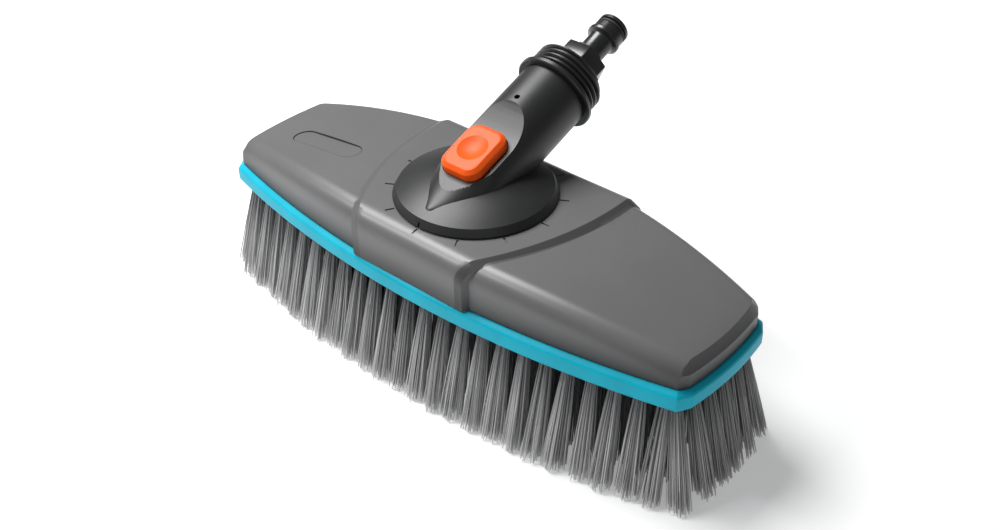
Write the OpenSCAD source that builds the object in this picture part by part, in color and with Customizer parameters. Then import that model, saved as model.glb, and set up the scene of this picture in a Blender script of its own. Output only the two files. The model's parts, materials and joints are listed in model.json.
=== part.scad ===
// Water-fed wash brush head: a bristled head with a cover and a bumper, and a
// turret on top with an angled neck for a handle and a hose.
// The origin is on the turret's axis, in the plane of the bristle tips.
// +X runs along the head, +Y is the way the neck leans, +Z is up.

/* [Head] */
// Half length of the cover, to the middle of its ends
head_half_len = 129.9; // [105:0.1:160]
// Half width of the cover in the middle
head_half_w = 43.3; // [40:0.1:60]
// How much narrower each side is at the corner facets
head_taper = 15.6; // [8:0.1:20]
// Radius of the bulging end walls
end_r = 155.6; // [130:0.1:200]
// How far behind the ends the corner facets begin
corner_back = 4.4; // [3:0.1:6]
// Slope of the corner facets, from the end wall
facet_angle = 32.3; // [28:0.1:36]
// Height of the wings at their highest line, above the bumper
wing_h = 21.3; // [18:0.1:28]
// Distance of that highest line from the turret's axis
wing_crest = 30; // [20:1:40]
// Radius of the wings' falling top
wing_fall_r = 453; // [400:1:900]
// Radius of the long top edges
edge_r = 8.5; // [4:0.1:10]
// Height of the end walls, up to their chamfer
end_wall_h = 6.5; // [4:0.1:8]
// Slope of the chamfer along the end walls, from the level
end_chamfer_angle = 58; // [45:1:70]
// Wall of the cover
cover_wall = 2.5; // [1.8:0.1:3]

/* [Centre section] */
// Height of the raised centre, above the bumper
centre_h = 22.5; // [22:0.1:30]
// How far the centre stands out in front and behind
centre_step = 1.45; // [0.5:0.05:3]
// Radius of the centre's two curved edges
step_arc_r = 135.5; // [125:0.1:150]
// Where those arcs are centred, across the head
step_arc_x = 82.8; // [75:0.1:88]
// Where those arcs are centred, towards the neck
step_arc_y = 33.8; // [30:0.1:38]
// Width of the band that slopes from the centre to the wings
step_band = 4.1; // [2:0.1:6]

/* [Badge recess] */
// Length of the blank badge recess
badge_len = 42; // [30:0.5:46]
// Width of the blank badge recess
badge_w = 11.5; // [8:0.5:14]
// Where the badge recess is along the head
badge_x = -86; // [-92:0.5:-80]
// Where the badge recess is across the head
badge_y = -8; // [-12:0.5:0]
// Depth of the badge recess
badge_depth = 0.9; // [0.6:0.1:1.2]

/* [Bumper and plate] */
// Height of the bumper
bumper_h = 10; // [8:0.1:14]
// How far the bumper stands out from the cover
bumper_out = 2.8; // [1.5:0.1:5]
// How much of the bumper lies under the cover's edge
bumper_in = 2.6; // [2:0.1:4]
// Thickness of the bristle plate
plate_t = 5; // [4:0.1:7]
// Thickness of the gasket on the bristle plate
gasket_t = 1; // [0.5:0.1:1.5]
// Number of spray nozzles in the plate
jets = 6; // [2:1:6]
// Distance between the spray nozzles
jet_pitch = 34; // [28:1:36]
// Bore of a spray nozzle
jet_bore_r = 0.9; // [0.5:0.1:1.5]

/* [Bristles] */
// Free length of the bristles, below the plate
bristle_len = 48.5; // [35:0.5:70]
// Width of a row of tufts at the plate
row_root_w = 7; // [5:0.1:8]
// Width of a row of tufts at the tips
row_tip_w = 10; // [8:0.1:11]
// How far the outer rows' tips reach beyond the cover's edge
tip_reach = 8; // [4:0.1:10]
// Distance from the cover's edge to the outer rows, at the plate
row_inset = 2.8; // [2.7:0.1:4]
// Distance from one row to the next
row_pitch = 11.6; // [11.6:0.1:13]

/* [Turret] */
// Radius of the turret's rim
rim_r = 36; // [34:0.1:37]
// Height of the rim
rim_h = 3.9; // [2.5:0.1:6]
// Rim radius lost to its slope
rim_slope = 1.9; // [0.5:0.1:3]
// Height of the dome above the rim
dome_h = 7.5; // [6:0.1:9]
// Running gap under the rim
rim_gap = 0.3; // [0.3:0.1:0.6]
// Radius of the hub that turns in the cover
hub_r = 24; // [23.5:0.1:24.5]
// Wall of the hub
hub_wall = 3; // [2.5:0.1:3.5]
// Running clearance of hub, tube and bolt
run_gap = 0.08; // [0.04:0.01:0.1]
// Number of index positions
index_count = 12; // [4:4:12]
// Length of an index mark
mark_len = 4; // [3:0.1:4.5]

/* [Neck] */
// Lean of the neck above the level
neck_tilt = 19.6; // [18:0.1:24]
// Where the neck's axis meets the cover's top plane
neck_foot = -20.6; // [-22:0.1:-19]
// Radius of the neck
neck_r = 16.6; // [16:0.1:18]
// Length of the neck's barrel along its axis
neck_len = 77; // [74:0.5:100]
// Height of the scoop's floor above the neck's axis
scoop_floor = 10.2; // [10:0.1:11]
// Radius of the scoop's run-out
scoop_r = 38; // [34:1:42]
// Radius of the pinhole above the scoop
pinhole_r = 1.3; // [0.8:0.1:1.6]

/* [Thread and nipple] */
// Radius of the collar's flange
flange_r = 19.5; // [18.5:0.1:23]
// Thickness of the flange
flange_t = 2.4; // [1.5:0.1:4]
// Outer radius of the thread
thread_r = 17.5; // [17.4:0.1:18.4]
// Depth of the thread
thread_depth = 1.3; // [0.8:0.1:1.6]
// Pitch of the thread
thread_pitch = 3; // [2.5:0.1:4]
// Number of turns
thread_turns = 4; // [3:1:5]
// Across the flats of the nipple's foot
hex_af = 20.2; // [18:0.1:21]
// Radius of the nipple's locking ridge
ridge_r = 8.2; // [8.1:0.05:8.8]
// Radius of the nipple's nose
nose_r = 7.6; // [7.3:0.05:7.7]
// Radius of the nipple's waist
waist_r = 6; // [5.8:0.1:6.4]
// Radius of the water bore
water_r = 4; // [3:0.1:4.4]

/* [Lock] */
// Length of the button along the neck
button_len = 26.6; // [24:0.1:28]
// Width of the button
button_w = 20.8; // [18:0.1:21.4]
// Corner radius of the button
button_corner = 6; // [4:0.1:8]
// How far the button stands above the scoop's floor
button_rise = 5; // [4:0.1:6]
// Travel of the button
button_travel = 3; // [2:0.1:3]
// Clearance round the button
button_gap = 0.35; // [0.3:0.05:0.5]
// Width of the bolt's nose
bolt_w = 5; // [4:0.1:6]
// Thickness of the bolt
bolt_t = 2.8; // [2:0.1:3]

/* [Hidden] */
$fn = 96;
eps = 0.01;
big = 400;

// Levels, from the tips upwards
tip_z = 0;
plate_z = bristle_len;
line_z = plate_z + bumper_h;
seat_z = line_z + centre_h;
gasket_z = plate_z + plate_t;
manifold_z = gasket_z + gasket_t;
rim_z = seat_z + rim_gap;

// Outline of the cover at the bumper
corner_half_w = head_half_w - head_taper;
corner_x = head_half_len - corner_back;
side_r = (corner_x * corner_x + head_taper * head_taper) / (2 * head_taper);
side_c = side_r - head_half_w;
end_x = head_half_len;
facet_d = corner_x * cos(facet_angle) + corner_half_w * sin(facet_angle);

// Bevels of the bumper
bumper_low_bevel = 1;
bumper_low_h = 3.2;
bumper_top_bevel = 1.8;
bumper_top_h = 0.7;

// Wings
wing_sections = 12;
slice_t = 0.2;
edge_steps = 6;

// Water way and screws under the cover
manifold_rise = 3.2;
manifold_roof = 2;
manifold_rim = 4.5;
jet_y = 6;
jet_r = 2;
screw_x = 92;
side_screw_x = 46;
side_screw_y = 19;
screw_spots = [
    [-screw_x, 0], [screw_x, 0], [-side_screw_x, side_screw_y], [side_screw_x, side_screw_y],
    [-side_screw_x, -side_screw_y], [side_screw_x, -side_screw_y]
];
screw_r = 1.25;
screw_pilot_r = 1.3;
screw_clear_r = 1.7;
screw_head_r = 2.9;
screw_boss_r = 4;
drive_r = 1.1;

// Depths of the inner rows of tufts
second_in = row_inset + row_pitch;
third_in = row_inset + 2 * row_pitch;

// Neck frame: Y along the neck, Z up through the scoop
thread_start = neck_len + flange_t;
thread_end = thread_start + (thread_turns - 0.25) * thread_pitch;
thread_core_r = thread_r - thread_depth;
thread_crest = 0.9;
hex_len = 9.8;
seat_ring_t = 1;
hex_start = thread_end + seat_ring_t;
collar_start = hex_start + hex_len;
collar_len = 1.4;
waist_len = 11.6;
collar_r = 8.4;
waist_start = collar_start + collar_len;
ridge_start = waist_start + waist_len;
ridge_len = 2;
nose_end = ridge_start + ridge_len + 8.1;
ring_groove_start = nose_end - 4.7;
ring_groove_w = 2.3;
ring_t = 0.8;
strainer_t = 1.2;
spigot_r = 9;
spigot_len = 9;

// Turret insides
bolt_z = seat_z - 3.2;
carrier_t = 3;
carrier_z = bolt_z - carrier_t;
clip_t = 1.5;
washer_t = 0.9;
sleeve_z = seat_z - 11;
clip_z = sleeve_z - washer_t - 2 * run_gap - clip_t;
hub_z = clip_z - 2;
sleeve_r = hub_r + 4;
ring_out_r = hub_r + 6;
boss_r = ring_out_r + 3;
tube_r = 5;
tube_bore = 3.5;
tube_foot_z = manifold_z + 3;
tube_top_s = 84;
chamber_r = hub_r - hub_wall;
socket_r = tube_r + 3;
elbow_swell = 0.3;
elbow_gap = 0.4;
swivel_grooves = [tube_foot_z + 1.6, tube_foot_z + 5];
groove_w = 1.4;
seal_r = 0.45;
carrier_spots = [[-15, 8.5], [15, 8.5], [0, 17]];
bow_len = 20;
pinhole_s = 57;
scoop_flat_end = 33;

// Lock insides
button_mid = 25.8;
button_foot = scoop_floor - 1.3;
button_top = scoop_floor + button_rise;
leg_x = 8.5;
leg_w = 3;
leg_len = 3.6;
leg_s = 17;
arm_end = 5;
lug_h = 7;
lug_front = -6.8;
cross_y = -18.2;
cross_t = 3;
post_y = 8.4;
post_t = 2;
nose_out = hub_r + 2.8;
notch_out = nose_out + 0.6;
leg_gap = 0.4;
lug_gap = 0.6;
spring_x = 7.6;
spring_s = button_mid + 7;
spring_foot = 2.1;
spring_wire = 0.45;
button_spring_r = 1.45;
spring_well_r = button_spring_r + spring_wire + 0.2;
spring_well_depth = 2;
button_bevel = 1.4;
dimple_r = 7;
dimple_sphere = 14;

// Leg tips are cut along this ramp, which the bolt's lugs share
ramp_y = -2.85;
ramp_z = bolt_z + bolt_t + button_travel + 0.4;
ramp_slope = atan2(cos(neck_tilt), 1 - sin(neck_tilt));
ramp_gap = 0.35;

// ---- Shared shapes ----

// All that lies inside the bulge of one end
module end_limit(g) {
    translate([end_x - end_r, 0]) circle(r = end_r + g, $fn = 180);
    translate([end_x - end_r - big, -big / 2]) square([big, big]);
}

// Outline of the head, grown by g all round
module outline(g = 0) {
    intersection() {
        translate([0, side_c]) circle(r = side_r + g, $fn = 360);
        translate([0, -side_c]) circle(r = side_r + g, $fn = 360);
        end_limit(g);
        mirror([1, 0]) end_limit(g);
        rotate(facet_angle) square([2 * (facet_d + g), big], center = true);
        rotate(-facet_angle) square([2 * (facet_d + g), big], center = true);
    }
}

// A flat plate of the head's outline
module slab(z, h, g) {
    translate([0, 0, z]) linear_extrude(h) outline(g);
}

// Half width of the cover at x, shrunk by g, before its ends are cut
function side_y(x, g) = sqrt(pow(side_r - g, 2) - x * x) - side_c;

// Height of the wing at x, shrunk by g
function fall(x) = x < wing_crest ? 0 : wing_fall_r - sqrt(pow(wing_fall_r, 2) - pow(x - wing_crest, 2));
function wing_top(x, g) = wing_h - g - fall(x);

// A section with a rounded top: half width w, height t, edge radius r, down to below
function corner_pts(w, t, r) = [
    for (i = [0 : edge_steps])
        let (a = 90 * i / edge_steps) [w - r + r * sin(a), t - r + r * cos(a)]
];
function section_pts(w, t, r, below) = concat(
    corner_pts(w, t, r), [[w, -below], [-w, -below]],
    [for (i = [edge_steps : -1 : 0]) let (p = corner_pts(w, t, r)[i]) [-p[0], p[1]]]
);

// One thin section across the head at x
module wing_slice(x, g) {
    w = side_y(abs(x), g);
    t = wing_top(abs(x), g);
    r = min(edge_r - g, t * 0.8);
    translate([x, 0, 0]) rotate([90, 0, 90]) linear_extrude(slice_t, center = true)
        polygon(section_pts(w, t, r, g));
}

// A solid bounded by the bulge of one end: the profile turned round the bulge's centre
module turned_end() {
    translate([end_x - end_r, 0, 0]) {
        rotate_extrude($fn = 180) children();
        translate([-big, -big / 2, -cover_wall]) cube([big, big, wing_h + 2 * cover_wall]);
    }
}

// A solid bounded by two opposite corner facets with that profile
module facet_pair(angle) {
    rotate(angle) rotate([90, 0, 0]) for (flip = [0, 1]) mirror([flip, 0, 0])
        translate([0, 0, -big / 2]) linear_extrude(big) children();
}

// Profile of an end wall at distance r, with its chamfer
module end_profile(r) {
    rise = 2 * wing_h;
    top = end_wall_h + rise;
    crest = r - rise / tan(end_chamfer_angle);
    polygon([[0, -cover_wall], [r, -cover_wall], [r, end_wall_h], [crest, top], [0, top]]);
}

// Both wings as one rounded body, shrunk by g
module wings(g) {
    reach = end_x + 2;
    intersection() {
        hull() for (i = [-wing_sections : wing_sections]) wing_slice(reach * i / wing_sections, g);
        turned_end() end_profile(end_r - g);
        mirror([1, 0, 0]) turned_end() end_profile(end_r - g);
        facet_pair(facet_angle) end_profile(facet_d - g);
        facet_pair(-facet_angle) end_profile(facet_d - g);
    }
}

// Half length of the raised centre at y
function centre_x(y) = sqrt(pow(step_arc_r, 2) - pow(step_arc_y - y, 2)) - step_arc_x;
// Height of the raised centre at y, down over its rounded front and back edges
function centre_top(y) =
    let (past = max(0, abs(y) - (head_half_w + centre_step - edge_r)))
    centre_h - edge_r + sqrt(max(0, edge_r * edge_r - past * past));

// The raised centre, widest towards the neck, with its sloping side bands
module centre_block() {
    y_end = head_half_w + centre_step;
    steps = 24;
    hull() for (i = [0 : steps]) {
        y = -y_end * cos(180 * i / steps);
        t = centre_top(y);
        x = centre_x(y);
        foot = x + step_band;
        low = max(0, t - (centre_h - wing_h) - 0.4);
        translate([0, y, 0]) rotate([90, 0, 0]) linear_extrude(slice_t, center = true)
            polygon([[-x, t], [x, t], [foot, low], [foot, 0], [-foot, 0], [-foot, low]]);
    }
}

// Things placed along the neck: Y along its axis, Z up through the scoop
module neck_frame() {
    translate([0, neck_foot, seat_z]) rotate([neck_tilt, 0, 0]) children();
}

// A round bar or tube along the neck
module along_neck(r, from, to) {
    neck_frame() translate([0, from, 0]) rotate([-90, 0, 0]) cylinder(r = r, h = to - from);
}

module tube(r_out, r_in, h) {
    difference() {
        cylinder(r = r_out, h = h);
        translate([0, 0, -1]) cylinder(r = r_in, h = h + 2);
    }
}

module torus(r, wire) {
    rotate_extrude() translate([r, 0]) circle(r = wire, $fn = 24);
}

// A plain helical spring along Z with flat rests at both ends
module coil(r, wire, h, turns) {
    sides = 6;
    per_turn = 14;
    n = turns * per_turn;
    points = [
        for (i = [0 : n]) for (k = [0 : sides - 1])
            let (a = 360 * i / per_turn, b = 360 * k / sides, q = r + wire * cos(b))
            [q * cos(a), q * sin(a), wire + (h - 2 * wire) * i / n + wire * sin(b)]
    ];
    walls = [
        for (i = [0 : n - 1]) for (k = [0 : sides - 1])
            let (m = (k + 1) % sides)
            [i * sides + k, (i + 1) * sides + k, (i + 1) * sides + m, i * sides + m]
    ];
    caps = [[for (k = [0 : sides - 1]) k], [for (k = [sides - 1 : -1 : 0]) n * sides + k]];
    polyhedron(points, concat(walls, caps));
}

module rounded_rect(w, l, r) {
    translate([r - w / 2, -l / 2]) square([w - 2 * r, l]);
    translate([-w / 2, r - l / 2]) square([w, l - 2 * r]);
    for (x = [-1, 1], y = [-1, 1]) translate([x * (w / 2 - r), y * (l / 2 - r)]) circle(r = r);
}

// ---- Head ----

module cover() {
    color("dimgray") difference() {
        union() {
            difference() {
                translate([0, 0, line_z]) union() {
                    wings(0);
                    centre_block();
                }
                translate([0, 0, line_z]) wings(cover_wall);
            }
            translate([0, 0, sleeve_z]) cylinder(r = sleeve_r, h = seat_z - sleeve_z);
            translate([0, 0, bolt_z - 3]) cylinder(r = boss_r, h = seat_z - bolt_z + 3);
            for (p = screw_spots) translate([p[0], p[1], line_z + manifold_rise])
                cylinder(r = screw_boss_r, h = wing_top(abs(p[0]), 0) - cover_wall - manifold_rise + 1);
        }
        translate([0, 0, hub_z]) cylinder(r = hub_r + run_gap, h = big);
        translate([0, 0, bolt_z]) cylinder(r = ring_out_r + run_gap, h = big);
        for (p = screw_spots) translate([p[0], p[1], line_z]) cylinder(r = screw_pilot_r, h = 10);
        for (i = [0 : index_count - 1]) rotate(i * 360 / index_count)
            translate([rim_r + 0.4, -0.4, seat_z - 0.5]) cube([mark_len, 0.8, 2]);
        badge_recess();
    }
}

// Blank pill-shaped recess on the left wing
module badge_recess() {
    slope = asin((abs(badge_x) - wing_crest) / wing_fall_r);
    translate([badge_x, badge_y, line_z + wing_top(abs(badge_x), 0) - badge_depth])
        rotate([0, -slope, 0]) linear_extrude(5) {
            square([badge_len - badge_w, badge_w], center = true);
            for (x = [-1, 1]) translate([x * (badge_len - badge_w) / 2, 0]) circle(d = badge_w);
        }
}

// Half of the bumper's cross-section, r out from the middle at its widest
module bumper_profile(r) {
    polygon([
        [0, 0], [r - bumper_low_bevel, 0], [r, bumper_low_h], [r, bumper_h - bumper_top_h],
        [r - bumper_top_bevel, bumper_h], [0, bumper_h]
    ]);
}

module bumper() {
    color("darkturquoise") difference() {
        translate([0, 0, plate_z]) intersection() {
            translate([0, side_c, 0]) rotate_extrude($fn = 360) bumper_profile(side_r + bumper_out);
            translate([0, -side_c, 0]) rotate_extrude($fn = 360) bumper_profile(side_r + bumper_out);
            turned_end() bumper_profile(end_r + bumper_out);
            mirror([1, 0, 0]) turned_end() bumper_profile(end_r + bumper_out);
            facet_pair(facet_angle) bumper_profile(facet_d + bumper_out);
            facet_pair(-facet_angle) bumper_profile(facet_d + bumper_out);
        }
        slab(plate_z - 1, bumper_h + 2, -bumper_in);
    }
}

module bristle_plate() {
    color("darkslategray") difference() {
        slab(plate_z, plate_t, -bumper_in - 0.1);
        for (i = [0 : jets - 1]) translate([jet_x(i), 0, plate_z - 1]) jet_holes(jet_r + 0.1);
        for (p = screw_spots) translate([p[0], p[1], plate_z - 1]) {
            cylinder(r = screw_clear_r, h = plate_t + 2);
            cylinder(r = screw_head_r + 0.3, h = 3.2);
        }
    }
}

function jet_x(i) = (i - (jets - 1) / 2) * jet_pitch;

module jet_holes(r) {
    for (y = [-1, 1]) translate([0, y * jet_y, 0]) cylinder(r = r, h = plate_t + 2, $fn = 24);
}

module jet_nozzles() {
    color("white") for (i = [0 : jets - 1]) for (y = [-1, 1])
        translate([jet_x(i), y * jet_y, plate_z - 0.4]) rotate_extrude($fn = 24)
            polygon([
                [jet_bore_r, 0], [jet_r - 0.4, 0], [jet_r, 0.4], [jet_r, plate_t + 0.4],
                [jet_bore_r, plate_t + 0.4]
            ]);
}

module manifold_gasket() {
    color("black") difference() {
        slab(gasket_z, gasket_t, -bumper_in - 6);
        slab(gasket_z - 1, gasket_t + 2, -bumper_in - 9);
    }
}

// Channel plate: a shallow tray upside down, with the swivel's socket in the middle
module water_manifold() {
    manifold_h = manifold_rise + line_z - manifold_z;
    inset = bumper_in + 5;
    socket_foot_z = manifold_z + 1;
    color("gray") difference() {
        union() {
            difference() {
                slab(manifold_z, manifold_h, -inset);
                slab(manifold_z - 1, manifold_h + 1 - manifold_roof, -inset - manifold_rim);
            }
            translate([0, 0, socket_foot_z]) cylinder(r = socket_r, h = hub_z - 1 - socket_foot_z);
            for (p = screw_spots) translate([p[0], p[1], manifold_z])
                cylinder(r = screw_boss_r, h = manifold_h);
        }
        translate([0, 0, tube_foot_z - 0.5]) cylinder(r = tube_r + run_gap, h = big);
        translate([0, 0, manifold_z]) cylinder(r = tube_bore, h = big);
        for (p = screw_spots) translate([p[0], p[1], manifold_z - 1])
            cylinder(r = screw_clear_r, h = manifold_h + 2);
    }
}

module plate_screws() {
    head_z = plate_z + 0.4;
    color("silver") for (p = screw_spots) translate([p[0], p[1], head_z]) {
        difference() {
            cylinder(r = screw_head_r, h = 1.8);
            translate([0, 0, -1]) cylinder(r = drive_r, h = 2, $fn = 6);
        }
        cylinder(r = screw_r, h = line_z + 9 - head_z);
    }
}

module detent_ring() {
    color("lightgray") translate([0, 0, bolt_z]) difference() {
        tube(ring_out_r, hub_r + 0.3, 2.9);
        for (i = [0 : index_count - 1]) rotate(i * 360 / index_count + 270)
            translate([0, -bolt_w / 2 - 0.3, -1]) cube([notch_out, bolt_w + 0.6, 5]);
    }
}

module thrust_washer() {
    color("ivory") translate([0, 0, sleeve_z - washer_t - run_gap])
        tube(sleeve_r, hub_r + run_gap, washer_t);
}

// ---- Bristles: each row is one plain body of the right size and place ----

// Cross-section of a row: d from the outline at the plate, out at the tips
module row_profile(r, d, out) {
    root = r - d;
    tip = r + out;
    polygon([[root - row_root_w, plate_z], [root, plate_z], [tip, tip_z], [tip - row_tip_w, tip_z]]);
}

// A row along a long side (facing -Y), between -x and x
module side_row(depth, out, x) {
    a = asin(x / side_r);
    translate([0, side_c, 0]) rotate(270 - a) rotate_extrude(angle = 2 * a, $fn = 360)
        row_profile(side_r, depth, out);
}

module end_row() {
    a = asin((corner_half_w - 10) / end_r);
    translate([end_x - end_r, 0, 0]) rotate(-a) rotate_extrude(angle = 2 * a, $fn = 360)
        row_profile(end_r, row_inset, tip_reach);
}

module bristles_front_row() { color("gray") side_row(row_inset, tip_reach, corner_x - 4); }
module bristles_back_row() { color("gray") mirror([0, 1, 0]) side_row(row_inset, tip_reach, corner_x - 4); }
module bristles_right_end() { color("gray") end_row(); }
module bristles_left_end() { color("gray") mirror([1, 0, 0]) end_row(); }
module inner_row(depth, x) { side_row(depth, (row_tip_w - row_root_w) / 2 - depth, x); }
module bristles_front_second() { color("gray") inner_row(second_in, corner_x - 17); }
module bristles_back_second() { color("gray") mirror([0, 1, 0]) inner_row(second_in, corner_x - 17); }
module bristles_front_third() { color("gray") inner_row(third_in, corner_x * 0.42); }
module bristles_back_third() { color("gray") mirror([0, 1, 0]) inner_row(third_in, corner_x * 0.42); }

module bristles_centre_row() {
    reach = corner_x - 14;
    root = row_root_w / 2;
    tip = row_tip_w / 2;
    color("gray") rotate([90, 0, 90]) translate([0, 0, -reach]) linear_extrude(2 * reach)
        polygon([[-root, plate_z], [root, plate_z], [tip, tip_z], [-tip, tip_z]]);
}

// ---- Turret ----

// Dome: a shallow cap over the rim
module dome() {
    cap_w = rim_r - rim_slope;
    cap_r = (cap_w * cap_w + dome_h * dome_h) / (2 * dome_h);
    translate([0, 0, rim_z]) {
        cylinder(r1 = rim_r, r2 = cap_w, h = rim_h);
        intersection() {
            translate([0, 0, rim_h + dome_h - cap_r]) sphere(r = cap_r, $fn = 180);
            cylinder(r = cap_w, h = rim_h + dome_h);
        }
    }
}

// The neck's barrel with its bow, the pointed foot that runs down into the dome
module barrel() {
    blend = 3;
    along_neck(neck_r, bow_len - eps, neck_len);
    neck_frame() translate([0, bow_len - blend, 0]) rotate([-90, 0, 0])
        cylinder(r1 = neck_r - 0.9 * blend, r2 = neck_r, h = blend);
    neck_frame() hull() {
        translate([0, bow_len + 1, 0]) rotate([-90, 0, 0]) cylinder(r = neck_r - 0.1, h = eps, $fn = 48);
        translate([0, 4, 0]) rotate([-90, 0, 0]) cylinder(r = 9.5, h = eps, $fn = 32);
        translate([0, -5.2, 7.2]) sphere(r = 1.6, $fn = 16);
    }
}

// The scoop: a flat floor that runs out upwards along an arc
module scoop_cut() {
    neck_frame() difference() {
        translate([-30, -20, scoop_floor]) cube([60, 80, 30]);
        translate([-31, scoop_flat_end, scoop_floor]) difference() {
            cube([62, 60, 40]);
            translate([-1, 0, scoop_r]) rotate([0, 90, 0]) cylinder(r = scoop_r, h = 70, $fn = 180);
        }
    }
}

// Space of the button: outline grown by g, between two heights over the neck's axis
module button_block(g, from, to) {
    neck_frame() translate([0, button_mid, from]) linear_extrude(to - from) button_outline(-g);
}

// The two legs, with g of room round them
module leg_space(g, from, to) {
    neck_frame() for (x = [-1, 1])
        translate([x * leg_x - leg_w / 2 - g, leg_s - leg_len / 2 - g, from])
            cube([leg_w + 2 * g, leg_len + 2 * g, to - from]);
}

// Room for the bolt's lugs over their travel
module lug_space() {
    front = lug_front - 1.5;
    back = arm_end + button_travel + lug_gap;
    for (x = [-1, 1]) translate([x * leg_x - leg_w / 2 - lug_gap, front, bolt_z])
        cube([leg_w + 2 * lug_gap, back - front, bolt_t + lug_h + lug_gap]);
}

// Wells that hold the ends of the button's springs
module spring_wells(from, h) {
    neck_frame() for (x = [-1, 1]) translate([x * spring_x, spring_s, from])
        cylinder(r = spring_well_r, h = h, $fn = 48);
}

module turret() {
    color([0.13, 0.13, 0.13]) difference() {
        union() {
            dome();
            difference() {
                barrel();
                translate([0, 0, -1]) cylinder(r = 60, h = rim_z + 1.5);
            }
            translate([0, 0, hub_z]) cylinder(r = hub_r, h = rim_z - hub_z + 1);
        }
        scoop_cut();
        button_block(button_gap, button_foot - button_travel - 0.6, 30);
        leg_space(leg_gap, -14, 12);
        spring_wells(spring_foot - 0.1, button_foot - spring_foot);
        elbow(tube_r + elbow_gap, neck_len + 1, bolt_z);
        lug_space();
        along_neck(spigot_r, neck_len - spigot_len, neck_len + 1);
        difference() {
            translate([0, 0, hub_z - 1]) cylinder(r = chamber_r, h = bolt_z + 7 - hub_z);
            for (p = carrier_spots) translate([p[0], p[1], bolt_z]) cylinder(r = 3, h = 10);
        }
        for (p = carrier_spots) translate([p[0], p[1], carrier_z]) cylinder(r = screw_pilot_r, h = 8);
        translate([0, -hub_r, bolt_z + 1.4]) cube([bolt_w + 2 * run_gap, 20, bolt_t + 0.4], center = true);
        translate([0, 0, clip_z]) difference() {
            cylinder(r = hub_r + 1, h = clip_t + run_gap);
            translate([0, 0, -1]) cylinder(r = hub_r - 1.5, h = clip_t + 3);
        }
        neck_frame() translate([0, pinhole_s, 5]) cylinder(r = pinhole_r, h = 20);
        translate([-0.5, -rim_r - 1, rim_z - 1]) cube([1, 2.2, rim_h + 1.2]);
    }
}

// One turn of the thread
module thread_profile() {
    flank = 0.6;
    base = 2 * flank + thread_crest;
    inside = thread_core_r - 1;
    polygon([
        [inside, 0], [thread_core_r, 0], [thread_r, flank], [thread_r, flank + thread_crest],
        [thread_core_r, base], [inside, base]
    ]);
}

module threaded_collar() {
    color([0.1, 0.1, 0.1]) difference() {
        union() {
            along_neck(flange_r, neck_len, neck_len + flange_t);
            along_neck(thread_core_r, thread_start - eps, thread_end);
            for (i = [0 : thread_turns - 1]) neck_frame()
                translate([0, thread_start + 0.6 + i * thread_pitch, 0]) rotate([-90, 0, 0])
                    rotate_extrude() thread_profile();
        }
        along_neck(spigot_r + 0.05, neck_len - 1, thread_end + 1);
    }
}

// ---- Water way ----

// Half section of the nipple beyond its foot: collar, waist, locking ridge and nose
module nipple_profile() {
    groove_r = nose_r - 2 * ring_t;
    groove_end = ring_groove_start + ring_groove_w;
    ridge_end = ridge_start + ridge_len;
    polygon([
        [0, collar_start - eps], [collar_r, collar_start - eps], [collar_r, waist_start - 0.8],
        [waist_r + 0.6, waist_start], [waist_r, waist_start + 0.6], [waist_r, ridge_start - 1.4],
        [ridge_r, ridge_start], [ridge_r, ridge_end - 0.5], [nose_r, ridge_end],
        [nose_r, ring_groove_start], [groove_r, ring_groove_start], [groove_r, groove_end],
        [nose_r, groove_end], [nose_r, nose_end - 0.6], [nose_r - 0.6, nose_end], [0, nose_end]
    ]);
}

module hose_nipple() {
    hex_r = hex_af / sqrt(3);
    color([0.1, 0.1, 0.1]) difference() {
        union() {
            along_neck(spigot_r - 0.05, neck_len - spigot_len + 0.5, hex_start + eps);
            neck_frame() translate([0, hex_start, 0]) rotate([-90, 0, 0])
                cylinder(r = hex_r, h = hex_len, $fn = 6);
            neck_frame() rotate([-90, 0, 0]) rotate_extrude() nipple_profile();
        }
        along_neck(water_r, tube_top_s - 6, nose_end + 1);
        along_neck(tube_r + 0.05, 0, tube_top_s);
        along_neck(waist_r - 0.8, nose_end - 2.5, nose_end + 1);
    }
}

module nipple_o_ring() {
    color("black") neck_frame() translate([0, ring_groove_start + ring_groove_w / 2, 0])
        rotate([-90, 0, 0]) torus(nose_r - ring_t, ring_t - 0.02);
}

module nipple_seat_ring() {
    color("black") neck_frame() translate([0, thread_end, 0])
        rotate([-90, 0, 0]) tube(spigot_r + 2.4, spigot_r, seat_ring_t);
}

module inlet_strainer() {
    color("silver") difference() {
        along_neck(waist_r - 0.9, nose_end - 2.45, nose_end - 2.45 + strainer_t);
        neck_frame() for (x = [-2 : 2], z = [-2 : 2]) if (x * x + z * z < 7)
            translate([x * 1.7, nose_end - 4, z * 1.7]) rotate([-90, 0, 0])
                cylinder(r = 0.55, h = 5, $fn = 16);
    }
}

// Elbow: down the neck, round a slightly wider ball, then down through the hub into the
// manifold's socket
module elbow(r, top, foot) {
    bend_z = seat_z - neck_foot * tan(neck_tilt);
    along_neck(r, -neck_foot / cos(neck_tilt), top);
    translate([0, 0, bend_z]) sphere(r = r + elbow_swell);
    translate([0, 0, foot]) cylinder(r = r, h = bend_z - foot);
}

module water_tube() {
    color("white") difference() {
        elbow(tube_r, tube_top_s - 0.1, tube_foot_z);
        elbow(tube_bore, tube_top_s + 1, tube_foot_z - 1);
        for (z = swivel_grooves) translate([0, 0, z]) tube(tube_r + 1, tube_r - 1, groove_w);
    }
}

module swivel_o_rings() {
    color("black") for (z = swivel_grooves) translate([0, 0, z + groove_w / 2])
        torus(tube_r - seal_r, seal_r);
}

// ---- Hub fittings ----

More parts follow.
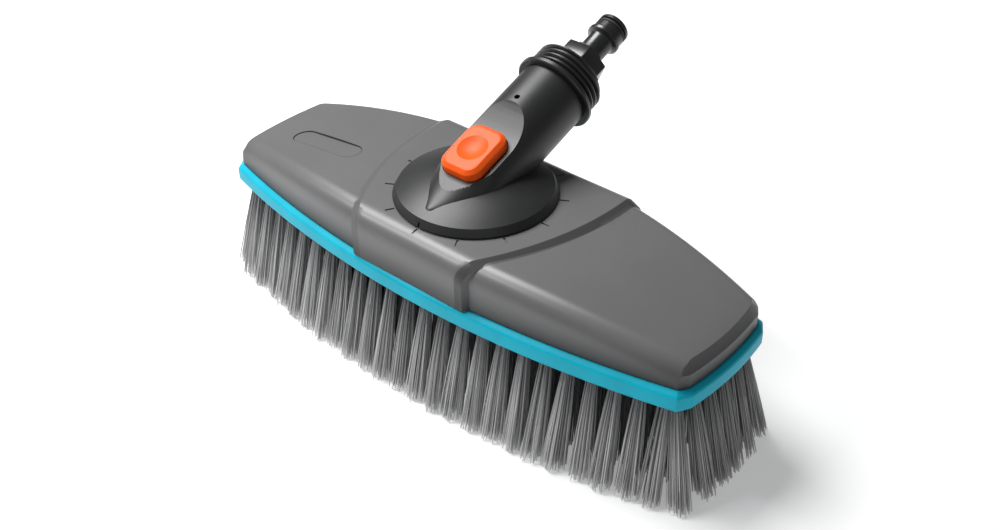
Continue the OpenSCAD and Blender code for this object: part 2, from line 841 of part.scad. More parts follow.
// Disc in the hub that the bolt slides on, with the stop for the bolt's spring
module bolt_carrier() {
    color("gray") difference() {
        union() {
            translate([0, 0, carrier_z]) cylinder(r = chamber_r - 0.05, h = carrier_t);
            translate([-2.5, -post_y - post_t / 2, bolt_z - eps]) cube([5, post_t, bolt_t]);
        }
        translate([0, 0, carrier_z - 1]) cylinder(r = tube_r + elbow_gap, h = big);
        for (p = carrier_spots) translate([p[0], p[1], carrier_z - 1])
            cylinder(r = screw_clear_r, h = carrier_t + 2);
    }
}

module carrier_screws() {
    color("silver") for (p = carrier_spots) translate([p[0], p[1], carrier_z - 1.5]) {
        difference() {
            cylinder(r = 2.4, h = 1.5);
            translate([0, 0, -1]) cylinder(r = drive_r, h = 2, $fn = 6);
        }
        cylinder(r = screw_r, h = 1.5 + carrier_t + 4.5);
    }
}

module retaining_clip() {
    color("silver") translate([0, 0, clip_z]) difference() {
        tube(sleeve_r - 0.5, hub_r - 1.45, clip_t);
        translate([-3, 0, -1]) cube([6, big, 4]);
    }
}

// ---- Lock ----

// Half space on the lug's side of the ramp, moved by g along Y
module ramp_side(g) {
    translate([-30, ramp_y + g, ramp_z]) rotate([ramp_slope - 90, 0, 0])
        translate([0, 0, -60]) cube([60, 60, 120]);
}

// The button's outline, smaller by g all round
module button_outline(g) {
    rounded_rect(button_w - 2 * g, button_len - 2 * g, button_corner - g);
}

module lock_button() {
    bevel_z = button_top - button_bevel;
    dimple_z = button_top + sqrt(dimple_sphere * dimple_sphere - dimple_r * dimple_r);
    leg_end_z = bolt_z + bolt_t + button_travel * cos(neck_tilt) + leg_gap;
    below = 18;
    color("orangered") difference() {
        union() {
            button_block(0, button_foot, bevel_z);
            neck_frame() translate([0, button_mid, bevel_z]) hull() {
                linear_extrude(eps) button_outline(0);
                translate([0, 0, button_bevel]) linear_extrude(eps) button_outline(1.3);
            }
            leg_space(0, -8, button_foot + 1);
        }
        neck_frame() translate([0, button_mid, dimple_z]) sphere(r = dimple_sphere, $fn = 120);
        spring_wells(button_foot - 1, spring_well_depth + 1);
        intersection() {
            ramp_side(-ramp_gap);
            translate([-15, -30, bolt_z - below]) cube([30, 60, below + bolt_t + 12]);
        }
        translate([-15, -30, bolt_z - below]) cube([30, 60, leg_end_z - bolt_z + below]);
    }
}

module button_springs() {
    color("silver") neck_frame() for (x = [-1, 1])
        translate([x * spring_x, spring_s, spring_foot])
            coil(button_spring_r, spring_wire, button_foot + spring_well_depth - spring_foot - 0.05, 4);
}

// Forked bolt: nose, crosspiece, two arms beside the water tube and a lug on each
module lock_bolt() {
    z = bolt_z + run_gap;
    t = bolt_t - run_gap;
    color("silver") {
        translate([-bolt_w / 2, -nose_out, z]) cube([bolt_w, nose_out + cross_y + 1, t]);
        translate([-leg_x - leg_w / 2, cross_y, z]) cube([2 * leg_x + leg_w, cross_t, t]);
        for (x = [-1, 1]) translate([x * leg_x - leg_w / 2, 0, z]) {
            translate([0, cross_y, 0]) cube([leg_w, arm_end - cross_y, t]);
            intersection() {
                translate([0, lug_front, 0]) cube([leg_w, arm_end - lug_front, t + lug_h]);
                translate([0, 0, -z]) ramp_side(0);
            }
        }
    }
}

module bolt_spring() {
    spring_y = cross_y + cross_t + 0.05;
    color("silver") translate([0, spring_y, bolt_z + bolt_t / 2 + 0.1]) rotate([-90, 0, 0])
        coil(bolt_t / 2 - 0.4, 0.3, -post_y - post_t / 2 - 0.05 - spring_y, 7);
}

cover();
bumper();
bristle_plate();
manifold_gasket();
water_manifold();
jet_nozzles();
plate_screws();
detent_ring();
thrust_washer();
bristles_front_row();
bristles_back_row();
bristles_left_end();
bristles_right_end();
bristles_front_second();
bristles_back_second();
bristles_front_third();
bristles_back_third();
bristles_centre_row();
turret();
threaded_collar();
hose_nipple();
nipple_o_ring();
nipple_seat_ring();
inlet_strainer();
water_tube();
swivel_o_rings();
bolt_carrier();
carrier_screws();
retaining_clip();
lock_button();
button_springs();
lock_bolt();
bolt_spring();
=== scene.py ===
"""Looks of a water-fed wash brush head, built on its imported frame.

Every size below is in millimetres, and positions come from the frame's own boxes.
"""

import json
import math
import random

import bmesh
import bpy
from bpy.props import FloatProperty, FloatVectorProperty, IntProperty, PointerProperty
from mathutils import Matrix, Vector


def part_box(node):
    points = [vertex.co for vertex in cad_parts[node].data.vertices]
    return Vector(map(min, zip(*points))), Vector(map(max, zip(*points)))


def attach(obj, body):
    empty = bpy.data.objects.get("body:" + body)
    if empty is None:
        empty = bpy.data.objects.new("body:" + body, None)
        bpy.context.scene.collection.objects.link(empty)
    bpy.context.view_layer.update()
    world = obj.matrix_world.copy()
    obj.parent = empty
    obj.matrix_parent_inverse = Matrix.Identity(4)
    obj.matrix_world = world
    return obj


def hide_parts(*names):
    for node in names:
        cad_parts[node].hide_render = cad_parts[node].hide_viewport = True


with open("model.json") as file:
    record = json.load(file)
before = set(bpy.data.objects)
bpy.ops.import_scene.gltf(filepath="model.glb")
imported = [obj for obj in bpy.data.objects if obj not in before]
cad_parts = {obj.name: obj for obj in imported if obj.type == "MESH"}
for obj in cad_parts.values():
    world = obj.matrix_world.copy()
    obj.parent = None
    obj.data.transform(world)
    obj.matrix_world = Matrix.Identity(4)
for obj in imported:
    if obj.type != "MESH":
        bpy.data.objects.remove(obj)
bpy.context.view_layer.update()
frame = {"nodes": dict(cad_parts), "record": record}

bl_info = {
    "name": "Wash brush head",
    "version": (1, 0, 0),
    "blender": (4, 5, 0),
    "location": "View3D > Sidebar > Brush",
    "description": "Builds the looks of a water-fed wash brush head on its packed frame",
    "category": "Object",
}

MM = 0.001


def box(node):
    """Lowest and highest corner of a node, in millimetres."""
    low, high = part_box(node)
    return low / MM, high / MM


# ---- Sizes taken from the frame, and the badge's given size and place ----

PLATE_Z = box("bumper")[0].z
LINE_Z = box("bumper")[1].z
SEAT_Z = box("cover")[1].z
END_X = box("cover")[1].x
CENTRE_HALF_W = box("cover")[1].y
BADGE_LEN, BADGE_W = 42.0, 11.5
BADGE_X, BADGE_Y = -86.0, -8.0
BUMPER_OUT = box("bumper")[1].x - END_X
RIM_R = box("turret")[1].x
HUB_Z = box("turret")[0].z
BUTTON_W = box("lock_button")[1].x * 2
BUMPER_H = LINE_Z - PLATE_Z

# ---- Shape of the cover's outline ----

SIDE_HALF_W = CENTRE_HALF_W - 1.45
CORNER_X = END_X - 4.4
CORNER_TAPER = 15.6
SIDE_R = (CORNER_X**2 + CORNER_TAPER**2) / (2 * CORNER_TAPER)
SIDE_C = SIDE_R - SIDE_HALF_W
END_R = 155.6
FACET_ANGLE = math.radians(32.3)
FACET_D = CORNER_X * math.cos(FACET_ANGLE) + (SIDE_HALF_W - CORNER_TAPER) * math.sin(FACET_ANGLE)
WING_H = 21.3
WING_CREST = 30.0
WING_FALL_R = 453.0
END_WALL_H = 6.5
END_CHAMFER = math.radians(58)
STEP_R, STEP_X, STEP_Y = 135.5, 82.8, 33.8
COVER_WALL = 2.5
BACK_EDGE = 0.6
BACK_STEP = 1.1
BAND_DROP = 0.9
FOOT_SHADE_H = 13
MARKS = 12
BUMPER_IN = 2.6

# ---- Tufts ----

OUTER_DEPTH, SECOND_DEPTH, THIRD_DEPTH = 5.4, 14.5, 29.0
OUTER_LEAN, END_LEAN, SECOND_LEAN = 10.5, 11.0, 3.5
ROOT_SPREAD, TIP_SPREAD = 2.3, 5.3
CENTRE_GAPS = 20
END_ROW_HALF_W = 14

# ---- The neck ----

TILT = math.radians(19.6)
NECK_FOOT = -20.6
NECK_R = 16.6
NECK_LEN = 77.0
NECK_FRAME = Matrix.Translation((0, NECK_FOOT, SEAT_Z)) @ Matrix.Rotation(TILT, 4, "X")
ALONG = NECK_FRAME @ Matrix.Rotation(-math.pi / 2, 4, "X")
RIM_Z = SEAT_Z + 0.3
RIM_H = 3.9
DOME_H = 7.5
DOME_R = RIM_R - 1.9
HUB_R, HUB_BORE_R = 24, 21
SCOOP_FLOOR = 10.2
BUTTON_MID, BUTTON_LEN, BUTTON_CORNER = 25.8, 26.6, 6.0
BUTTON_TOP, BUTTON_FOOT = SCOOP_FLOOR + 5.0, SCOOP_FLOOR - 1.3
POCKET_GAP = 0.35
LEG_X, LEG_ALONG = 8.5, 17.0
LEG_HALF_W, LEG_HALF_LEN = 1.5, 1.8
LEG_GAP = 0.4

# ---- Collar and nipple, by their distance along the neck ----

COLLAR_BORE_R, COLLAR_CORE_R, FLANGE_R = 9.1, 16.2, 19.5
FLANGE_H = 2.4
COLLAR_END = 90.65
NIPPLE_FOOT = 91.65
HEX_W, HEX_H = 20.2, 9.8
RIDGE = 114.45
NOSE_R = 7.6
NOSE_END = RIDGE + 10.1


def arc_points(cx, cz, r, start, end, count):
    """Points on an arc in a profile's plane, angles in degrees."""
    return [
        (cx + r * math.cos(math.radians(start + (end - start) * i / count)),
         cz + r * math.sin(math.radians(start + (end - start) * i / count)))
        for i in range(count + 1)
    ]


# ---- Settings ----

class BrushSizes(bpy.types.PropertyGroup):
    """Sizes that a user may change."""

    edge_radius: FloatProperty(
        name="Edge radius", description="Radius of the cover's long top edges",
        default=8.5 * MM, min=0.004, max=0.01, unit="LENGTH")
    step_band: FloatProperty(
        name="Step band", description="Width of the sloping band beside the centre",
        default=4.1 * MM, min=0.002, max=0.006, unit="LENGTH")
    badge_depth: FloatProperty(
        name="Badge depth", description="Depth of the blank badge recess",
        default=0.9 * MM, min=0.0004, max=0.0015, unit="LENGTH")
    tuft_pitch: FloatProperty(
        name="Tuft pitch", description="Distance between tufts along a row",
        default=10.4 * MM, min=0.006, max=0.02, unit="LENGTH")
    filaments: IntProperty(
        name="Filaments", description="Filaments in a tuft of the outer rows",
        default=80, min=8, max=90)
    filament_thickness: FloatProperty(
        name="Filament thickness", description="Thickness of one filament",
        default=0.62 * MM, min=0.0002, max=0.001, unit="LENGTH")
    thread_turns: IntProperty(
        name="Thread turns", description="Turns of the collar's thread", default=4, min=3, max=5)


class BrushColours(bpy.types.PropertyGroup):
    """Colours that a user may change."""

    cover: FloatVectorProperty(
        name="Cover", description="Colour of the cover", subtype="COLOR", size=3,
        default=(0.115, 0.115, 0.117), min=0, max=1)
    bumper: FloatVectorProperty(
        name="Bumper", description="Colour of the soft bumper", subtype="COLOR", size=3,
        default=(0.0, 0.40, 0.54), min=0, max=1)
    bristles: FloatVectorProperty(
        name="Bristles", description="Colour of the filaments", subtype="COLOR", size=3,
        default=(0.43, 0.43, 0.433), min=0, max=1)
    turret: FloatVectorProperty(
        name="Turret", description="Colour of the turret and the neck", subtype="COLOR", size=3,
        default=(0.012, 0.0125, 0.013), min=0, max=1)
    button: FloatVectorProperty(
        name="Button", description="Colour of the lock button", subtype="COLOR", size=3,
        default=(0.80, 0.09, 0.006), min=0, max=1)


# ---- Shader maths ----

class Value:
    """A shader socket that takes part in sums: each operator adds its Math node."""

    def __init__(self, finish, socket):
        self.finish = finish
        self.socket = socket

    def maths(self, operation, *values):
        return self.finish.node("ShaderNodeMath", {"operation": operation}, dict(enumerate(values)))

    def __add__(self, other):
        return self.maths("ADD", self, other)

    def __radd__(self, other):
        return self.maths("ADD", other, self)

    def __sub__(self, other):
        return self.maths("SUBTRACT", self, other)

    def __rsub__(self, other):
        return self.maths("SUBTRACT", other, self)

    def __mul__(self, other):
        return self.maths("MULTIPLY", self, other)

    def __rmul__(self, other):
        return self.maths("MULTIPLY", other, self)

    def absolute(self):
        return self.maths("ABSOLUTE", self)

    def at_least(self, low):
        return self.maths("MAXIMUM", self, low)

    def root(self):
        return self.maths("SQRT", self)

    def between(self, low, high):
        """0 below low and 1 above high, smoothly."""
        sockets = {"Value": self, "From Min": low, "From Max": high}
        settings = {"interpolation_type": "SMOOTHSTEP"}
        return self.finish.node("ShaderNodeMapRange", settings, sockets)


class Finish:
    """A material under construction, on one Principled shader."""

    def __init__(self, name):
        self.material = bpy.data.materials.new(name)
        self.material.use_nodes = True
        self.tree = self.material.node_tree
        self.shader = self.tree.nodes["Principled BSDF"]
        self.place = self.node("ShaderNodeTexCoord", {}, {}, "Object")

    def node(self, kind, settings, sockets, output=0):
        """Any node: its settings first, then the values or links of its sockets."""
        made = self.tree.nodes.new(kind)
        for key, value in settings.items():
            setattr(made, key, value)
        for key, value in sockets.items():
            self.plug(made.inputs[key], value)
        return Value(self, made.outputs[output])

    def plug(self, socket, value):
        if isinstance(value, Value):
            self.tree.links.new(value.socket, socket)
        else:
            socket.default_value = value

    def stretched(self, x, y, z):
        """The object's coordinates, scaled along each axis."""
        return self.node("ShaderNodeMapping", {}, {"Vector": self.place, "Scale": (x, y, z)})

    def axis(self, name):
        """One of the object's coordinates."""
        return self.node("ShaderNodeSeparateXYZ", {}, {0: self.place}, name)

    def noise(self, scale, detail=2.0, vector=None):
        """Noise, with scale in waves per metre."""
        sockets = {"Vector": vector or self.place, "Scale": scale, "Detail": detail}
        return self.node("ShaderNodeTexNoise", {}, sockets)

    def mix(self, factor, first, second):
        """One colour over another."""
        sockets = {0: factor, 6: first, 7: second}
        return self.node("ShaderNodeMix", {"data_type": "RGBA"}, sockets, 2)

    def bump(self, height, distance, strength=1.0):
        sockets = {"Height": height, "Distance": distance, "Strength": strength}
        return self.node("ShaderNodeBump", {}, sockets)

    def set(self, **sockets):
        """Values or links of the shader's own sockets, with _ for a space."""
        for key, value in sockets.items():
            self.plug(self.shader.inputs[key.replace("_", " ")], value)
        return self.material


def rgba(colour, gain=1.0):
    """The colour times gain, with an alpha of 1."""
    return (*[min(1.0, c * gain) for c in colour], 1.0)


def moulded(name, colour, roughness, grain=0.00003, coat=0.0, specular=0.5, sparkle=0.16):
    """Moulded plastic with a spark-eroded grain, slight flow marks and rubbed patches."""
    f = Finish(name)
    grain_noise = f.noise(2600, 3)
    cloud = f.noise(38, 4)
    scuffs = f.noise(1, 3, f.stretched(900, 140, 320)).between(0.6, 0.78)
    tone = f.mix(cloud.between(0.25, 0.75), rgba(colour, 1 - sparkle), rgba(colour, 1 + sparkle))
    tone = f.mix(grain_noise.between(0.3, 0.8) * 0.35, tone, rgba(colour, 1.45))
    rough = roughness + (cloud - 0.5) * 0.12 + scuffs * 0.06
    height = grain_noise * 0.8 + scuffs * 0.2
    f.set(Coat_Weight=coat, Coat_Roughness=0.25, Specular_IOR_Level=specular)
    return f.set(Base_Color=tone, Roughness=rough, Normal=f.bump(height, grain))


def cover_plastic(colour, band):
    """Grained grey plastic with painted shade: darker bands beside the centre, a fine dark line round the
    badge and walls that darken towards the foot.
    """
    f = Finish("cover_grained_plastic")
    grain = f.noise(2600, 3)
    cloud = f.noise(30, 4)
    x, y = f.axis("X"), f.axis("Y")
    step_y = STEP_Y * MM - y
    inside = (((STEP_R * MM) ** 2 - step_y * step_y).at_least(0)).root() - STEP_X * MM
    past = x.absolute() - inside
    on_band = past.between(0, 0.0004) * (1 - past.between(band * MM - 0.0002, band * MM + 0.0002))
    # Painted shade on the sloping bands beside the centre, darker on the band at +x, as if that band faced
    # away from the light.
    shade = on_band * (0.25 + x.between(0, 0.001) * 0.4)
    # Painted shade: a dark line along the badge recess's edge, standing in for the shade on its wall all
    # round.
    along = ((x - BADGE_X * MM).absolute() - (BADGE_LEN - BADGE_W) / 2 * MM).at_least(0)
    across = y - BADGE_Y * MM
    edge = ((along * along + across * across).root() - BADGE_W / 2 * MM).absolute()
    line = 1 - edge.between(0.0001, 0.0003)
    tone = f.mix(cloud.between(0.2, 0.8), rgba(colour, 0.96), rgba(colour, 1.04))
    tone = f.mix(grain.between(0.3, 0.8) * 0.3, tone, rgba(colour, 1.3))
    tone = f.mix(shade, tone, rgba(colour, 0.12))
    tone = f.mix(line * 0.7, tone, rgba(colour, 0.12))
    # Painted shade: the walls grow darker towards the cover's foot, over its lowest FOOT_SHADE_H
    # millimetres.
    foot = 1 - f.axis("Z").between(LINE_Z * MM, (LINE_Z + FOOT_SHADE_H) * MM)
    tone = f.mix(foot * 0.9, tone, rgba(colour, 0.1))
    rough = 0.36 + (cloud - 0.5) * 0.08 + on_band * 0.1 + foot * 0.1
    f.set(Specular_IOR_Level=0.5)
    return f.set(Base_Color=tone, Roughness=rough, Normal=f.bump(grain, 0.00003))


def bumper_rubber(colour):
    """Soft rubber: faint mould flow, a dusty bloom and tiny pores."""
    f = Finish("soft_bumper_rubber")
    pores = f.noise(1900, 2)
    bloom = f.noise(55, 5)
    tone = f.mix(bloom.between(0.3, 0.75), rgba(colour, 0.93), rgba(colour, 1.07))
    tone = f.mix(pores.between(0.62, 0.8) * 0.2, tone, rgba(colour, 0.7))
    f.set(Specular_IOR_Level=0.2)
    return f.set(Base_Color=tone, Roughness=0.42 + bloom * 0.12, Normal=f.bump(pores, 0.00003))


def filament_nylon(name, colour):
    """Drawn filaments: each a little lighter or darker, paler towards the tips, with painted shade darkening
    them near the root.
    """
    f = Finish(name)
    strand = f.node("ShaderNodeAttribute", {"attribute_name": "strand"}, {}, "Fac")
    grain = f.noise(2400, 2)
    height = f.axis("Z")
    tone = f.mix(strand, rgba(colour, 0.55), rgba(colour, 1.4))
    tone = f.mix(grain.between(0.35, 0.75) * 0.25, tone, rgba(colour, 0.8))
    # Painted shade: the filaments darken towards their roots under the plate.
    tone = f.mix(height.between(PLATE_Z * 0.4 * MM, PLATE_Z * MM) * 0.75, tone, rgba(colour, 0.2))
    # Paler over the lowest 7 mm, towards the tips.
    tone = f.mix((1 - height.between(0.0, 0.007)) * 0.6, tone, rgba(colour, 1.9))
    rough = 0.4 + strand * 0.15
    f.set(Specular_IOR_Level=0.4)
    return f.set(Base_Color=tone, Roughness=rough, Normal=f.bump(grain, 0.00002))


def sealing_rubber():
    """Matte black seals with a talc bloom."""
    f = Finish("seal_rubber")
    bloom = f.noise(420, 4)
    tone = f.mix(bloom.between(0.35, 0.8), (0.010, 0.010, 0.010, 1), (0.028, 0.028, 0.028, 1))
    return f.set(Base_Color=tone, Roughness=0.5 + bloom * 0.2, Normal=f.bump(f.noise(3000), 0.00002))


def worked_steel():
    """Stainless fittings with fine turning marks and dulled patches."""
    f = Finish("stainless_steel")
    marks = f.noise(1, 3, f.stretched(600, 600, 9000))
    dull = f.noise(300, 3)
    tone = f.mix(dull.between(0.3, 0.8), (0.62, 0.62, 0.61, 1), (0.47, 0.46, 0.45, 1))
    f.set(Metallic=1.0)
    return f.set(Base_Color=tone, Roughness=0.22 + marks * 0.16 + dull * 0.1, Normal=f.bump(marks, 0.00001))


def natural_acetal():
    """Milky white bearing plastic with faint shading and tool marks."""
    f = Finish("natural_acetal")
    cloud = f.noise(160, 3)
    tone = f.mix(cloud.between(0.3, 0.8), (0.76, 0.75, 0.71, 1), (0.64, 0.63, 0.58, 1))
    f.set(Subsurface_Weight=0.06, Subsurface_Scale=0.001)
    return f.set(Base_Color=tone, Roughness=0.38 + cloud * 0.12, Normal=f.bump(f.noise(2400), 0.00002))


def pale_floor():
    """A pale studio floor that gives off a little light of its own."""
    f = Finish("studio_floor")
    tone = f.mix(f.noise(3, 2).between(0.3, 0.7), (0.74, 0.74, 0.74, 1), (0.76, 0.76, 0.76, 1))
    f.set(Emission_Color=(1, 1, 1, 1), Emission_Strength=0.3)
    return f.set(Base_Color=tone, Roughness=0.7)


# ---- Mesh helpers ----

def sheet(bm, columns, rows, place):
    """A grid of faces; place(u, v) gives a corner's position, u and v from 0 to 1."""
    made = bmesh.ops.create_grid(bm, x_segments=columns, y_segments=rows, size=1)
    for vert in made["verts"]:
        u, v = (vert.co.x + 1) / 2, (vert.co.y + 1) / 2
        vert.co = place(round(u * columns) / columns, round(v * rows) / rows)
    return made["verts"]


def lathe(bm, profile, matrix, steps=96):
    """A profile of (radius, height) points, turned right round, then moved by matrix."""
    verts = [bm.verts.new((r, 0, z)) for r, z in profile]
    edges = [bm.edges.new(pair) for pair in zip(verts, verts[1:])]
    bmesh.ops.spin(bm, geom=verts + edges, cent=(0, 0, 0), axis=(0, 0, 1), angle=2 * math.pi,
                   steps=steps, use_merge=True)
    fresh = [v for v in bm.verts if v.is_valid and not v.tag]
    bmesh.ops.transform(bm, matrix=matrix, verts=fresh)
    for v in bm.verts:
        v.tag = True


def prism(bm, outline, height, matrix):
    """A flat outline of (x, y) points, extruded up by height, then moved by matrix."""
    base = bm.faces.new([bm.verts.new((x, y, 0)) for x, y in outline])
    grown = bmesh.ops.extrude_face_region(bm, geom=[base])["geom"]
    top = [g for g in grown if isinstance(g, bmesh.types.BMVert)]
    bmesh.ops.translate(bm, vec=(0, 0, height), verts=top)
    bottom = list(base.verts)
    bmesh.ops.transform(bm, matrix=matrix, verts=bottom + top)


def block(bm, low, high, matrix=Matrix()):
    """A box between two corners, then moved by matrix."""
    verts = bmesh.ops.create_cube(bm, size=1)["verts"]
    low, high = Vector(low), Vector(high)
    size = high - low
    place = matrix @ Matrix.Translation((low + high) / 2) @ Matrix.Diagonal((*size, 1))
    bmesh.ops.transform(bm, matrix=place, verts=verts)


def close(bm, gap=0.002):
    """Merges doubles and turns every face outwards."""
    bmesh.ops.remove_doubles(bm, verts=bm.verts, dist=gap)
    bmesh.ops.dissolve_degenerate(bm, edges=bm.edges, dist=gap / 2)
    bmesh.ops.recalc_face_normals(bm, faces=bm.faces)


def cap_holes(bm):
    """Closes every open loop with one face."""
    bmesh.ops.holes_fill(bm, edges=[e for e in bm.edges if e.is_boundary], sides=0)


def soften(bm, width, angle=30, segments=2):
    """Rounds every edge sharper than angle, in degrees."""
    limit = math.radians(angle)
    sharp = [e for e in bm.edges if len(e.link_faces) == 2 and e.calc_face_angle(0) > limit]
    bmesh.ops.bevel(bm, geom=sharp, offset=width, segments=segments, profile=0.5, affect="EDGES",
                    material=-1, clamp_overlap=True)


def to_mesh(name, bm, materials, sharp=35):
    """Turns a bmesh in millimetres into an object in metres, shaded smooth except at sharp edges."""
    bmesh.ops.scale(bm, vec=(MM, MM, MM), verts=bm.verts)
    limit = math.radians(sharp)
    for face in bm.faces:
        face.smooth = True
    for edge in bm.edges:
        if len(edge.link_faces) == 2:
            edge.smooth = edge.calc_face_angle(0) < limit
    mesh = bpy.data.meshes.new(name)
    bm.to_mesh(mesh)
    bm.free()
    for material in materials:
        mesh.materials.append(material)
    piece = bpy.data.objects.new(name, mesh)
    bpy.context.scene.collection.objects.link(piece)
    return piece


def even_shading(piece):
    """Weights the shading by face size, so that small cuts don't show on broad faces."""
    modifier = piece.modifiers.new("even_shading", "WEIGHTED_NORMAL")
    modifier.keep_sharp = True


def fit(piece, body, slot, *nodes):
    """Puts a finished piece on its body, in place of its CAD nodes; slot is not used."""
    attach(piece, body)
    if nodes:
        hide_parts(*nodes)


def carve(bm, cutter, name, operation="DIFFERENCE"):
    """The solid bm cut by, or joined with, the solid cutter, as a new bmesh."""
    close(bm)
    close(cutter)
    objects = []
    for part, label in ((bm, name), (cutter, name + "_cutter")):
        mesh = bpy.data.meshes.new(label)
        part.to_mesh(mesh)
        part.free()
        objects.append(bpy.data.objects.new(label, mesh))
        bpy.context.scene.collection.objects.link(objects[-1])
    solid, tool = objects
    modifier = solid.modifiers.new("carve", "BOOLEAN")
    modifier.operation = operation
    modifier.solver = "EXACT"
    modifier.object = tool
    bpy.context.view_layer.update()
    graph = bpy.context.evaluated_depsgraph_get()
    result = bmesh.new()
    result.from_mesh(solid.evaluated_get(graph).data)
    for spent in objects:
        data = spent.data
        bpy.data.objects.remove(spent)
        bpy.data.meshes.remove(data)
    if len(result.faces) < 4:
        raise RuntimeError(f"carving {name} left nothing")
    return result


# ---- Cover ----

def side_y(x, shrink=0.0):
    """Half width of the cover's outline at x, shrunk all round."""
    return math.sqrt((SIDE_R - shrink) ** 2 - x * x) - SIDE_C


def wing_top(x):
    """Height of a wing's top over the cover's foot at x."""
    past = max(0.0, abs(x) - WING_CREST)
    return WING_H - (WING_FALL_R - math.sqrt(WING_FALL_R**2 - past**2))


def section(w, t, r, back_r, steps=9, flat=14):
    """The cover's cross-section from its front foot over the top to its back foot."""
    front = [(-w, 0), (-w, (t - r) / 2)] + arc_points(-w + r, t - r, r, 180, 90, steps)
    middle = [(-w + r + (2 * w - r - back_r) * i / flat, t) for i in range(1, flat)]
    back = arc_points(w - back_r, t - back_r, back_r, 90, 0, steps) + [(w, (t - back_r) / 2), (w, 0)]
    return front + middle + back


def end_planes():
    """Wall and chamfer planes of one end, as (point, normal) pairs, for x above 0."""
    centre = Vector((END_X - END_R, 0, 0))
    half = math.radians(8.7)
    faces = [(centre, END_R, half * (2 * (i + 0.5) / 7 - 1)) for i in range(7)]
    faces += [(Vector(), FACET_D, FACET_ANGLE), (Vector(), FACET_D, -FACET_ANGLE)]
    planes = []
    for origin, distance, angle in faces:
        out = Vector((math.cos(angle), math.sin(angle), 0))
        foot = origin + out * distance
        foot.z = LINE_Z + END_WALL_H
        planes.append((foot, out))
        slope = out * math.sin(END_CHAMFER) + Vector((0, 0, math.cos(END_CHAMFER)))
        planes.append((foot, slope))
    return planes


def cut_off(bm, point, normal):
    """Cuts away what lies beyond a plane and closes the cut."""
    bmesh.ops.bisect_plane(bm, geom=bm.verts[:] + bm.edges[:] + bm.faces[:], dist=0.0005,
                           plane_co=point, plane_no=normal, clear_outer=True)
    cap_holes(bm)


def wing_body(shrink, edge_r):
    """Both wings as one closed solid, shrunk all round."""
    bm = bmesh.new()
    reach = END_X + 3
    rows = len(section(10, 10, 2, 2))

    def place(u, v):
        x = (2 * u - 1) * reach
        w = side_y(x, shrink)
        t = wing_top(x) - shrink
        r = min(edge_r - shrink, t * 0.8)
        points = section(w, t, r, r * BACK_EDGE)
        y, z = points[round(v * rows) % rows]
        return Vector((x, y, LINE_Z + z - (shrink if z == 0 else 0)))

    sheet(bm, 72, rows, place)
    close(bm)
    cap_holes(bm)
    for point, normal in end_planes():
        moved = point - Vector((normal.x, normal.y, normal.z)) * shrink
        cut_off(bm, moved, normal)
        cut_off(bm, Vector((-moved.x, moved.y, moved.z)), Vector((-normal.x, normal.y, normal.z)))
    bmesh.ops.recalc_face_normals(bm, faces=bm.faces)
    return bm


def centre_x(y):
    """Half length of the raised centre at y."""
    return math.sqrt(STEP_R**2 - (STEP_Y - y) ** 2) - STEP_X


def centre_body(edge_r, band, centre_h):
    """The raised centre with its sloping bands, as one closed solid."""
    bm = bmesh.new()
    steps, across = 44, 24

    def half_w(y):
        return CENTRE_HALF_W - (BACK_STEP if y > 0 else 0)

    def loop(y):
        past = max(0.0, abs(y) - (half_w(y) - edge_r))
        t = centre_h - edge_r + math.sqrt(max(0.0, edge_r**2 - past**2))
        x = centre_x(y)
        low = max(0.0, t - (centre_h - WING_H) - BAND_DROP)
        half = [(x, t), (x + band * 0.5, (t + low) / 2), (x + band, low), (x + band, 0)]
        top = [(-x + 2 * x * i / across, t) for i in range(1, across)]
        return [(-a, b) for a, b in reversed(half)] + top + half

    count = len(loop(0))

    def place(u, v):
        turn = math.cos(math.pi * v)
        y = -half_w(-turn) * turn
        x, z = loop(y)[round(u * count) % count]
        return Vector((x, y, LINE_Z + z))

    sheet(bm, count, steps, place)
    close(bm)
    cap_holes(bm)
    bmesh.ops.recalc_face_normals(bm, faces=bm.faces)
    return bm


def capsule(length, width, steps=12):
    """Outline of a pill."""
    r = width / 2
    d = length / 2 - r
    return arc_points(d, 0, r, -90, 90, steps) + arc_points(-d, 0, r, 90, 270, steps)


class BRUSH_OT_cover(bpy.types.Operator):
    """Build the grey cover with its raised centre, index marks and blank badge recess"""

    bl_idname = "brush.cover"
    bl_label = "Cover"

    def execute(self, context):
        sizes, colours = context.scene.brush_sizes, context.scene.brush_colours
        edge_r = sizes.edge_radius / MM
        centre = centre_body(edge_r, sizes.step_band / MM, SEAT_Z - LINE_Z)
        outer = carve(wing_body(0, edge_r), centre, "cover_outer", "UNION")
        tools = bmesh.new()
        for i in range(MARKS):
            turn = Matrix.Rotation(i * 2 * math.pi / MARKS, 4, "Z")
            block(tools, (RIM_R + 0.3, -0.5, SEAT_Z - 0.6), (RIM_R + 4.5, 0.5, SEAT_Z + 1), turn)
        outer = carve(outer, tools, "cover_marks")
        slope = math.asin((abs(BADGE_X) - WING_CREST) / WING_FALL_R)
        floor = Vector((BADGE_X, BADGE_Y, LINE_Z + wing_top(BADGE_X) - sizes.badge_depth / MM))
        badge = bmesh.new()
        pill = capsule(BADGE_LEN, BADGE_W)
        prism(badge, pill, 5, Matrix.Translation(floor) @ Matrix.Rotation(-slope, 4, "Y"))
        outer = carve(outer, badge, "cover_badge")
        close(outer)
        soften(outer, 0.2, 28)
        hollow = wing_body(COVER_WALL, edge_r)
        outer = carve(outer, hollow, "cover_hollow")
        hub = bmesh.new()
        hub_r, low, high = HUB_R + 0.1, LINE_Z + 2, SEAT_Z + 5
        lathe(hub, [(0, low), (hub_r, low), (hub_r, high), (0, high)], Matrix())
        outer = carve(outer, hub, "cover_hub")
        close(outer)
        skin = cover_plastic(colours.cover, sizes.step_band / MM)
        shell = to_mesh("cover_shell", outer, [skin], 24)
        even_shading(shell)
        fit(shell, "head", "cover_grey", "cover")
        return {"FINISHED"}


# ---- Bumper ----

